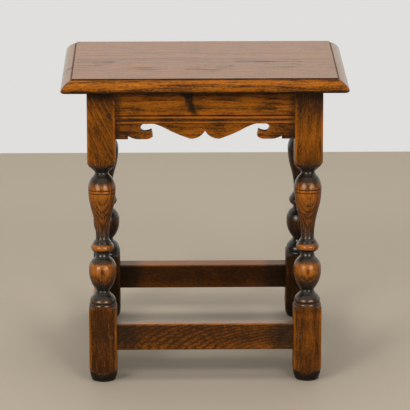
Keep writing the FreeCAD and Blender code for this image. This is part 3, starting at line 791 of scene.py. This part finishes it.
class STOOL_OT_seat(bpy.types.Operator):
    """Model the seat board with its moulded edge"""

    bl_idname = "stool.seat"
    bl_label = "Seat board"

    def execute(self, context):
        sizes = context.scene.stool_sizes
        thick = sizes.stool_height - sizes.under_seat
        lip = (0, sizes.edge_lip)
        quirk = (sizes.edge_width, thick - sizes.edge_quirk)
        section = swell_points((sizes.edge_lip_width, 0), lip, -sizes.edge_lip_swell, pitch=0.0008)
        section += swell_points(lip, quirk, -sizes.edge_swell, pitch=0.0016)
        section += [quirk, (sizes.edge_width, thick)]
        sides = [(sizes.seat_width - 2 * inset, sizes.seat_depth - 2 * inset, 1)
                 for inset, level in section]
        board = block("seat_board_moulded", sides[0], (0, 0, sizes.under_seat), flat=True)
        edit(board)
        for index in range(1, len(section)):
            rise = section[index][1] - section[index - 1][1]
            bpy.ops.mesh.extrude_region_move(TRANSFORM_OT_translate={"value": (0, 0, rise)})
            grow = [now / was for now, was in zip(sides[index], sides[index - 1])]
            bpy.ops.transform.resize(value=grow, center_override=(0, 0, 0))
        close_up()
        below_quirk = sizes.stool_height - sizes.edge_quirk - 0.0001
        round_edges(board, sizes.worn_mitre, lambda start, end: min(start.z, end.z) < below_quirk
                    and not lies_along(0, start, end) and not lies_along(1, start, end))
        soften(board, width=0.0007, sharpest=50)
        finish = oak_finish("seat_oak", Matrix.Translation((0, 0, sizes.stool_height)), lying,
                            (3.0, 0.010, (0.06, 0.02, 0), 0.010), lambda own: self.masks(sizes, own))
        dress(board, finish, "seat_oak", "seat_top")
        return {"FINISHED"}

    def masks(self, sizes, own):
        """The flat is dull, the moulding worn to amber, the quirk black."""
        across, deep, height = own.parts()
        past_end = abs(across) - (sizes.seat_width / 2 - sizes.edge_width)
        past_front = abs(deep) - (sizes.seat_depth / 2 - sizes.edge_width)
        out = past_end.most(past_front)
        at_sides = (past_end - past_front).spread(-0.001, 0.001)
        moulding = out.spread(0.0005, 0.006)
        quirk = out.spread(-0.0009, -0.0001) * out.spread(0.0012, 0.0032, 1.0, 0.0)
        checks = self.checks(own, deep)
        # Painted shadow: the underside of the board's edge, below its lower roll, is darkened.
        under = height.spread(-0.0202, -0.0118, 0.8, 0.0)
        rim = out.spread(0.002, 0.004) * at_sides.choose(0.05, 1.0)
        wax = (out.spread(-0.0005, 0.0002, 0.94, 0.0) - checks * 0.7 + rim).most(0.0)
        return wax, {"Worn": moulding * at_sides.choose(0.16, -0.06) + 0.30,
                     "Black": under + quirk * at_sides.choose(0.62, 0.7) + checks * 0.7,
                     "Contrast": moulding.choose(0.4, at_sides.choose(0.9, 0.35)), "Figure": 0.4}

    def checks(self, own, deep):
        """Fine drying cracks along the grain, in front of the board's middle."""
        line = own.noise((6, 75, 0)).band(0.5, 0.006, 0.024)
        broken = own.noise((12, 50, 9)).spread(0.44, 0.54)
        return line * broken * deep.band(-0.035, 0.018, 0.05)


class STOOL_OT_legs(bpy.types.Operator):
    """Turn the four legs between their square blocks"""

    bl_idname = "stool.legs"
    bl_label = "Legs"

    def execute(self, context):
        sizes = context.scene.stool_sizes
        first = self.turn_leg(sizes)
        corners = {"front_left": (-1, 0), "front_right": (1, 0),
                   "back_right": (-1, 180), "back_left": (1, 180)}
        for index, (corner, (hand, quarter)) in enumerate(corners.items()):
            leg = copy_of(first, f"leg_{corner}_turned")
            where = leg_where(hand, quarter)
            place(leg, where)
            trim(leg, 0, False)
            trim(leg, sizes.under_seat, True)
            smooth(leg, sharpest=35)
            finish = oak_finish(f"leg_oak_{corner}", where, (0, 0, 0),
                                (10.0 + 7 * index, 0.0027, (0.004 * hand, 0.062, 0), 0.008),
                                lambda own: self.masks(sizes, corner, hand, own),
                                0.45 if corner == "front_left" else 0)
            dress(leg, finish, "leg_oak", f"leg_{corner}")
        bpy.data.objects.remove(first)
        return {"FINISHED"}

    def turn_leg(self, sizes):
        """The square stock, less what the lathe takes away."""
        reach = sizes.leg_square / math.sqrt(2) + sizes.turning_play
        run = sizes.leg_square / 2
        top = sizes.under_seat / math.cos(sizes.leg_rake) + run
        spot = (members[0][2], 0)
        line = [(0, -run), (members[0][2], -run)]
        for word, length_up, radius, rise in members:
            ahead = (radius or reach, spot[1] + length_up)
            line += swell_points(spot, ahead, rise, pitch=0.0011)
            spot = ahead
        line += [spot, (reach, top), (0, top)]
        lathed = lathe("lathed", line, sizes.turning_steps)
        stock = (sizes.leg_square, sizes.leg_square, top + run - 2 * spare)
        leg = block("leg_stock", stock, (0, 0, (top - run) / 2))
        work(leg, "BEVEL", width=sizes.leg_arris, segments=3)
        combine(leg, lathed, "INTERSECT")
        return leg

    def masks(self, sizes, corner, hand, own):
        """Wear, black stain and wax of a leg: by height, along the blocks' arrises, and round the pegs. Some
        of it is painted shade: under the ring, at the tops of the blocks, towards the sides away from the
        lights and over the rear legs."""
        rear, right = corner.startswith("back"), corner.endswith("right")
        half, out = sizes.leg_square / 2, sizes.peg_from_axis
        across, deep, height = own.parts()
        lathed = height_tones(height, turned_marks)
        flat = height_tones(height, block_marks["right" if right else "left"])
        across, deep = abs(across), abs(deep)
        on_flat = across.most(deep).spread(half - 0.0005, half - 0.0001)
        arris = across.math("MINIMUM", deep).spread(half - 0.0042, half - 0.0018)
        arris = arris * height.spread(0.435, 0.455, 1.0, 0.25) * on_flat
        # Painted shade: the wear colour of the turned work is kept on the side that faces the lights, and it
        # fades towards the sides
        outward = own.vector("MULTIPLY", (1, 1, 0)).vector("NORMALIZE")
        lit_facing = outward.vector("DOT_PRODUCT", lit_side).spread(0.4, 0.95, 0.35, 1.0)
        worn = arris * 0.36 + on_flat.choose(lathed[0] * lit_facing, flat[0])
        black = arris * -0.35 + on_flat.choose(lathed[1], flat[1])
        for score in score_heights:
            black += height.band(score, 0.0003, 0.0010)
        for rail, level in peg_levels(sizes).items():
            dirt = 0.45 if rail == "apron" and not right else 0.2
            for peg in ((-hand * out, -half, level), (hand * half, out, level)):
                black += own.vector("DISTANCE", peg).spread(0.0038, 0.0058, dirt, 0.0)
        # The rear legs are made much darker: partly their own darker stain, partly painted shadow of the
        # seat.
        if rear:
            worn *= 0.12
            black += 0.5
        return on_flat.choose(lathed[2], flat[2]), {
            "Worn": worn, "Black": black, "Contrast": height.spread(0.13, 0.2, 0.45, 0.62),
            "Figure": on_flat.choose(0.6, 0.25)}


class STOOL_OT_aprons(bpy.types.Operator):
    """Saw and mould the four aprons"""

    bl_idname = "stool.aprons"
    bl_label = "Aprons"

    def execute(self, context):
        sizes = context.scene.stool_sizes
        for index, side in enumerate(quarters):
            outer = apron_top(sizes, tilt_of(side))
            foot = outer - sizes.apron_depth
            # the long aprons start over height, since they are trimmed level later
            over = sizes.apron_thickness * math.tan(tilt_of(side)) + spare if is_long(side) else 0
            apron = self.saw_apron(sizes, side, foot, outer + over)
            self.mould(sizes, apron, outer, foot)
            self.bore_pockets(sizes, apron, side)
            where = rail_where(side, sizes.apron_thickness)
            place(apron, where)
            if is_long(side):
                trim(apron, sizes.under_seat, True)
            soften(apron, sizes.soft_arris)
            finish = oak_finish(f"apron_oak_{side}", where, lying,
                                (40.0 + 9 * index, 0.0036, (-0.43, 0.06, 0), 0.012),
                                lambda own: self.masks(sizes, side, foot, outer, own))
            dress(apron, finish, "apron_oak", f"apron_{side}")
        return {"FINISHED"}

    def saw_apron(self, sizes, side, foot, top):
        """The board with its shaped lower edge."""
        half = shoulder(side, foot)
        left = [(-out * half, foot + up * sizes.scroll_height, rise * sizes.scroll_height)
                for out, up, rise in scroll_shares]
        outline = [(-half, foot, 0)] + left
        outline.append((0, foot + cusp_share * sizes.scroll_height, left[-1][2]))
        for index in range(len(left) - 1, -1, -1):
            rise = left[index - 1][2] if index else 0
            outline.append((-left[index][0], left[index][1], rise))
        outline += [(half, foot, 0), (shoulder(side, top), top, 0), (-shoulder(side, top), top, 0)]
        thick = sizes.apron_thickness
        spots = [(across, -thick / 2, up) for here, there in zip(outline, outline[1:] + outline[:1])
                 for across, up in swell_points(here[:2], there[:2], here[2], pitch=0.0012)]
        return prism(f"apron_{side}_moulded", spots, (0, thick, 0))

    def mould(self, sizes, apron, outer, foot):
        """Run the moulding along the outer face and set the lower field back."""
        face = -sizes.apron_thickness / 2
        proud, inner, lower = face + fillet_inset, face + bead_inset, face + lower_inset
        groove = outer - sizes.field_height
        bead = groove - groove_width
        cove = bead - bead_width
        fillet = cove - cove_width
        field = fillet - fillet_width
        section = [(face - overrun, groove), (face, groove), (face + groove_depth, groove - 0.001)]
        section += swell_points((inner, bead), (inner, cove), -bead_swell, pitch=0.0004)
        section += swell_points((inner, cove), (proud, fillet), cove_hollow, pitch=0.0006)
        section += [(proud, fillet), (proud, field), (lower, field - lower_step), (lower, foot - overrun),
                    (face - overrun, foot - overrun)]
        reach = sizes.seat_width / 2
        tool = prism("moulding_plane", [(-reach, deep, up) for deep, up in section], (2 * reach, 0, 0))
        combine(apron, tool, "DIFFERENCE")

    def bore_pockets(self, sizes, apron, side):
        """Pockets in the inner face for the screws that hold the seat."""
        for way in screw_ways(sizes, side):
            rest()
            middle = -sizes.screw_seat - sizes.pocket_length / 2
            bpy.ops.mesh.primitive_cylinder_add(vertices=24, radius=sizes.pocket_radius,
                                                depth=sizes.pocket_length, location=(0, 0, middle))
            bit = bpy.context.object
            place(bit, way)
            combine(apron, bit, "DIFFERENCE")

    def masks(self, sizes, side, foot, outer, own):
        """Dark beside the legs and in the moulding, with painted shadow under the seat and beneath the
        fillet, and painted highlights on the bead and the fillet's edge."""
        groove = outer - sizes.field_height
        bead_middle, cove_middle = groove - 0.0036, groove - 0.0078
        fillet_edge, lower_edge = groove - 0.0116, groove - 0.0142
        half = shoulder(side, foot)
        across, deep, height = own.parts()
        aside = abs(across)
        beside = aside.spread(half - 0.018, half - 0.003, 0, 0.62)
        # Painted shadow of the seat along the apron's top.
        upper = height.spread(outer - 0.015, outer - 0.002, 0, 0.85)
        lower = height.spread(lower_edge - 0.001, lower_edge + 0.001, 1.0, 0.0)
        lower = lower * aside.spread(half - 0.065, half - 0.008, 0.0, 0.34)
        lines = height.spread(groove - 0.0022, groove - 0.0012, 0.0, 0.8)
        lines = lines * height.spread(groove, groove + 0.0008, 1.0, 0.0)
        cove = height.band(cove_middle, 0.0012, 0.0026, 0.62)
        # Painted shadow line beneath the fillet, where the lower field is set back.
        below = height.band(lower_edge, 0.0006, 0.0014, 0.5)
        # Painted highlights on the fillet's edge and the bead's middle; the same mask also thickens the wax
        # there.
        bright = height.band(fillet_edge, 0.0005, 0.0012)
        bright = bright.most(height.band(bead_middle, 0.0006, 0.0014))
        inner = deep.spread(-0.006, 0.008, 0, 0.35)
        clouds = own.noise((24, 24, 48), detail=3.0).spread(0.42, 0.66)
        black = beside.most(upper, lines, cove, below, lower) + clouds * 0.1 + inner
        if side == "front":
            left_of_middle, below_seat = 0.024, 0.020
            black += self.knot(own, (-left_of_middle, 0, outer - below_seat))
        # The painted highlights lighten the bead and the fillet's edge.
        worn = bright * 0.5 - clouds * 0.3 - lower - inner + 0.62
        return bright * 0.9 + 0.1, {"Worn": worn, "Black": black, "Contrast": 0.72, "Figure": 0.5}

    def knot(self, own, spot):
        """The dark wood round a knot, with ragged edges."""
        off = own.vector("SUBTRACT", spot)
        far = abs(off.vector("DOT_PRODUCT", (1, 0, 0.35))) + own.noise((160, 0, 90), detail=3.0) * 0.024
        return far.spread(0.014, 0.024, 0.75, 0.0) * off.parts()[2].spread(-0.021, -0.017)


def screw_ways(sizes, side):
    """The axes of an apron's screws, in its own place, where they meet the seat."""
    tilt = tilt_of(side)
    level = (sizes.under_seat - rail_offset(sizes.apron_thickness) * math.sin(tilt)) / math.cos(tilt)
    out = shoulder(side, sizes.under_seat) - sizes.screw_from_shoulder
    hands = (-1, 1) if is_long(side) else (0,)
    return [turned(sizes.screw_lean, "X", (hand * out, 0, level)) for hand in hands]


class STOOL_OT_stretchers(bpy.types.Operator):
    """Plane the four stretchers and wear their edges"""

    bl_idname = "stool.stretchers"
    bl_label = "Stretchers"

    def execute(self, context):
        sizes = context.scene.stool_sizes
        thick = sizes.stretcher_thickness
        foot = sizes.stretcher_top - sizes.stretcher_depth
        # the boards were sawn at a slope, some way out from the tree's pith
        slope, middle = math.radians(18), 0.12
        pith = (0.007 - foot, -middle * math.sin(slope) - thick / 2 * math.cos(slope), 0)
        for index, side in enumerate(quarters):
            sides = (2 * shoulder(side, foot) + overrun, thick, sizes.stretcher_depth)
            rail = block(f"stretcher_{side}_worn", sides, (0, 0, (foot + sizes.stretcher_top) / 2))
            self.cut_shoulders(sizes, rail, side)
            round_edges(rail, sizes.worn_arris, lambda start, end: lies_along(0, start, end))
            smooth(rail)
            where = rail_where(side, thick)
            place(rail, where)
            finish = oak_finish(f"stretcher_oak_{side}", where, (0, math.radians(90), slope),
                                (70.0 + 5 * index, 0.0043, pith, 0.008),
                                lambda own: self.masks(sizes, side, foot, own))
            dress(rail, finish, "stretcher_oak", f"stretcher_{side}")
        return {"FINISHED"}

    def cut_shoulders(self, sizes, rail, side):
        """Trim the ends to the legs' inner faces."""
        lean = 0 if is_long(side) else sizes.leg_rake
        for hand in (-1, 1):
            edit(rail)
            spot = (hand * shoulder(side, sizes.stretcher_top), 0, sizes.stretcher_top)
            bpy.ops.mesh.bisect(plane_co=spot, plane_no=(hand * math.cos(lean), 0, math.sin(lean)),
                                use_fill=True, clear_outer=True)
            rest()

    def masks(self, sizes, side, foot, own):
        """Worn along the upper edge, black beside the legs."""
        half = shoulder(side, foot)
        top = sizes.stretcher_top
        # The back and side stretchers are darker: partly their own stain, partly painted shadow of the seat.
        stain, contrast, figure = (0.18, 0.5, 0.6) if side == "front" else (0.3, 0.22, 0.15)
        across, deep, height = own.parts()
        upper = height.spread(top - 0.0035, top - 0.001, 0, 0.5)
        lower = height.spread(foot + 0.002, foot + 0.02, 0.22, 0.0)
        beside = abs(across).spread(half - 0.05, half - 0.02, 0, 0.45)
        return upper.spread(0, 0.5, 0.12, 0.8), {
            "Worn": upper + lower + 0.02, "Black": upper * -0.3 + beside + stain,
            "Contrast": contrast, "Figure": figure}


class STOOL_OT_pegs(bpy.types.Operator):
    """Whittle the pegs and drive them through the joints"""

    bl_idname = "stool.pegs"
    bl_label = "Pegs"

    def execute(self, context):
        sizes = context.scene.stool_sizes
        finish = self.end_grain(context.scene.stool_colours)
        first = self.whittle(sizes)
        for side in quarters:
            for rail, height in peg_levels(sizes).items():
                places = [self.where(sizes, side, hand, height) for hand in (-1, 1)]
                pair = set_out(first, f"pegs_{side}_{rail}_whittled", places)
                dress(pair, finish, "peg_oak", f"pegs_{side}_{rail}")
        bpy.data.objects.remove(first)
        return {"FINISHED"}

    def whittle(self, sizes):
        """A peg with hand-cut flats and a softened end, its end at the origin."""
        rest()
        reach = sizes.peg_depth + sizes.peg_proud
        middle = (0, 0, sizes.peg_proud - reach / 2)
        bpy.ops.mesh.primitive_cone_add(vertices=10, radius1=sizes.peg_radius * 0.8,
                                        radius2=sizes.peg_radius, depth=reach, location=middle)
        peg = bpy.context.object
        bpy.ops.object.transform_apply(location=True)
        soften(peg, width=0.0006, sharpest=50)
        return peg

    def where(self, sizes, side, hand, height):
        """A peg's place, its axis square to the leg's outer face."""
        half = sizes.leg_square / 2
        if is_long(side):
            spot = (-hand * sizes.peg_from_axis, -half, height)
            return leg_where(hand, quarters[side]) @ turned(math.pi / 2, "X", spot)
        right = side == "right"
        rear = (hand > 0) != right
        outward = 1 if right != rear else -1
        spot = (outward * half, sizes.peg_from_axis, height)
        return leg_where(outward, 180 if rear else 0) @ turned(outward * math.pi / 2, "Y", spot)

    def end_grain(self, colours):
        """Dark end grain with a soft sheen, dirtier high up on the left."""
        finish, shader = new_finish("peg_oak")
        spots = spots_on(finish.node_tree)
        specks = spots.noise((1400, 1400, 1400))
        ramp = new_node(finish.node_tree, "ValToRGB", {"Fac": specks})
        for stop, position, strength in zip(ramp.color_ramp.elements, (0.3, 0.7), (0.4, 1.7)):
            stop.position = position
            stop.color = [strength * part for part in colours.peg[:3]] + [1]
        across, deep, height = spots.parts()
        dirty = across.spread(0, 0.01, 0.7, 0) * height.spread(0.2, 0.3)
        bump = specks.node("Bump", {"Height": specks, "Strength": 0.3, "Distance": 0.0003})
        feed(shader, {"Base Color": dirty.blend(ramp.outputs[0], colours.stain_and_shade), "Normal": bump,
                      "Roughness": specks.spread(0.3, 0.7, 0.35, 0.55), "Specular IOR Level": 0.15})
        return finish


class STOOL_OT_screws(bpy.types.Operator):
    """Turn the slotted screws that hold the seat from below"""

    bl_idname = "stool.screws"
    bl_label = "Screws"

    def execute(self, context):
        sizes = context.scene.stool_sizes
        finish = self.dull_steel(context.scene.stool_colours)
        first = self.make_screw(sizes)
        for side in quarters:
            apron = rail_where(side, sizes.apron_thickness)
            places = [apron @ way for way in screw_ways(sizes, side)]
            screws = set_out(first, f"screws_{side}_slotted", places)
            dress(screws, finish, "screw_steel", f"screws_{side}")
        bpy.data.objects.remove(first)
        return {"FINISHED"}

    def make_screw(self, sizes):
        """Round head with a slot, plain shank and pointed end, up along Z."""
        head_radius, shank_radius, head_height, tip = 0.004, 0.0021, 0.0026, 0.015
        slot_width, slot_length, slot_depth = 0.0009, 0.01, 0.001
        seat = -sizes.screw_seat
        head = seat - head_height
        line = [(0, head), (head_radius - 0.0006, head), (head_radius, head + 0.0007),
                (head_radius, seat - 0.0004), (shank_radius, seat), (shank_radius, tip - 0.004),
                (0.0006, tip), (0, tip)]
        screw = lathe("screw", line, steps=24)
        combine(screw, block("slot", (slot_width, slot_length, 2 * slot_depth), (0, 0, head)), "DIFFERENCE")
        smooth(screw, sharpest=35)
        return screw

    def dull_steel(self, colours):
        """Old steel, brushed and a little rusty."""
        finish, shader = new_finish("screw_steel")
        rust = spots_on(finish.node_tree).noise((700, 700, 700), detail=3.0).spread(0.45, 0.65)
        feed(shader, {"Base Color": rust.blend(colours.steel, (0.12, 0.06, 0.03, 1)),
                      "Metallic": rust.choose(1.0, 0.2), "Roughness": rust.choose(0.35, 0.7)})
        return finish


class STOOL_PT_panel(bpy.types.Panel):
    """Lists the steps that build and finish the stool"""

    bl_label = "Joint Stool"
    bl_idname = "STOOL_PT_panel"
    bl_space_type = "VIEW_3D"
    bl_region_type = "UI"
    bl_category = "Stool"

    def draw(self, context):
        for step in steps:
            self.layout.operator(step.bl_idname)
        for owner in (context.scene.stool_sizes, context.scene.stool_colours):
            for word in owner.__annotations__:
                self.layout.prop(owner, word)


steps = (STOOL_OT_stage, STOOL_OT_seat, STOOL_OT_legs, STOOL_OT_aprons, STOOL_OT_stretchers,
         STOOL_OT_pegs, STOOL_OT_screws)
classes = (StoolSizes, StoolColours) + steps + (STOOL_PT_panel,)


def register():
    for kind in classes:
        bpy.utils.register_class(kind)
    bpy.types.Scene.stool_sizes = PointerProperty(type=StoolSizes)
    bpy.types.Scene.stool_colours = PointerProperty(type=StoolColours)


def unregister():
    del bpy.types.Scene.stool_colours
    del bpy.types.Scene.stool_sizes
    for kind in reversed(classes):
        bpy.utils.unregister_class(kind)


def main():
    """Build everything in order."""
    register()
    groups["grain"] = oak_grain_group()
    groups["stain"] = old_stain_group()
    bpy.ops.stool.stage()
    bpy.ops.stool.seat()
    bpy.ops.stool.legs()
    bpy.ops.stool.aprons()
    bpy.ops.stool.stretchers()
    bpy.ops.stool.pegs()
    bpy.ops.stool.screws()
    rest()


if __name__ == "__main__":
    main()
